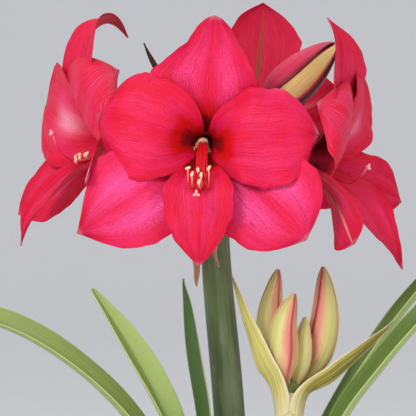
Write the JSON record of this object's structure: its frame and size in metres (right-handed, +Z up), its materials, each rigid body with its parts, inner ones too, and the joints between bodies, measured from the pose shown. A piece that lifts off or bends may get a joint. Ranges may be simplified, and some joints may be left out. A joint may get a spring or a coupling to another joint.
{
  "type": "potted amaryllis",
  "caption": "Potted amaryllis bulb with large open trumpet flowers on a tall leafless stem, a shorter stem of young buds, arching strap leaves and a plain clay pot.",
  "frame": {"origin": "middle of the flat underside of the pot", "axes": "+Z up along the pot's axis, -Y towards the viewer, the side that the front flower faces, +X to the viewer's right"},
  "size_m": [0.497, 0.2239, 0.5942],
  "materials": {
    "petal": "satin",
    "stamen": "matte",
    "scape_green": "matte",
    "stalk_green": "matte",
    "bud_red": "satin",
    "bud_green": "satin",
    "spathe_green": "satin",
    "spathe_withered": "matte",
    "spathe_dry": "matte",
    "leaf_green": "satin",
    "bulb_tunic": "matte",
    "terracotta": "matte",
    "potting_soil": "matte"
  },
  "bodies": {
    "root": {"bloom_front": "petal", "stamens_front": "stamen", "bloom_left": "petal", "stamens_left": "stamen", "bloom_right": "petal", "stamens_right": "stamen", "bloom_back": "petal", "stamens_back": "stamen", "scape_tall": "scape_green", "stalk_front": "stalk_green", "stalk_right": "stalk_green", "stalk_bud": "stalk_green", "stalk_back": "stalk_green", "stalk_left": "stalk_green", "bud_opening": "bud_red", "scape_short": "scape_green", "bud_back_left": "bud_green", "bud_middle": "bud_green", "bud_small": "bud_green", "bud_right": "bud_green", "spathe_left": "spathe_green", "spathe_right": "spathe_green", "spathe_hanging": "spathe_withered", "spathe_dried": "spathe_dry", "bracteole": "spathe_withered", "leaf_left_long": "leaf_green", "leaf_left_middle": "leaf_green", "leaf_left_narrow": "leaf_green", "leaf_right_front": "leaf_green", "leaf_right_back": "leaf_green", "bulb": "bulb_tunic", "pot": "terracotta", "soil": "potting_soil"}
  },
  "joints": []
}
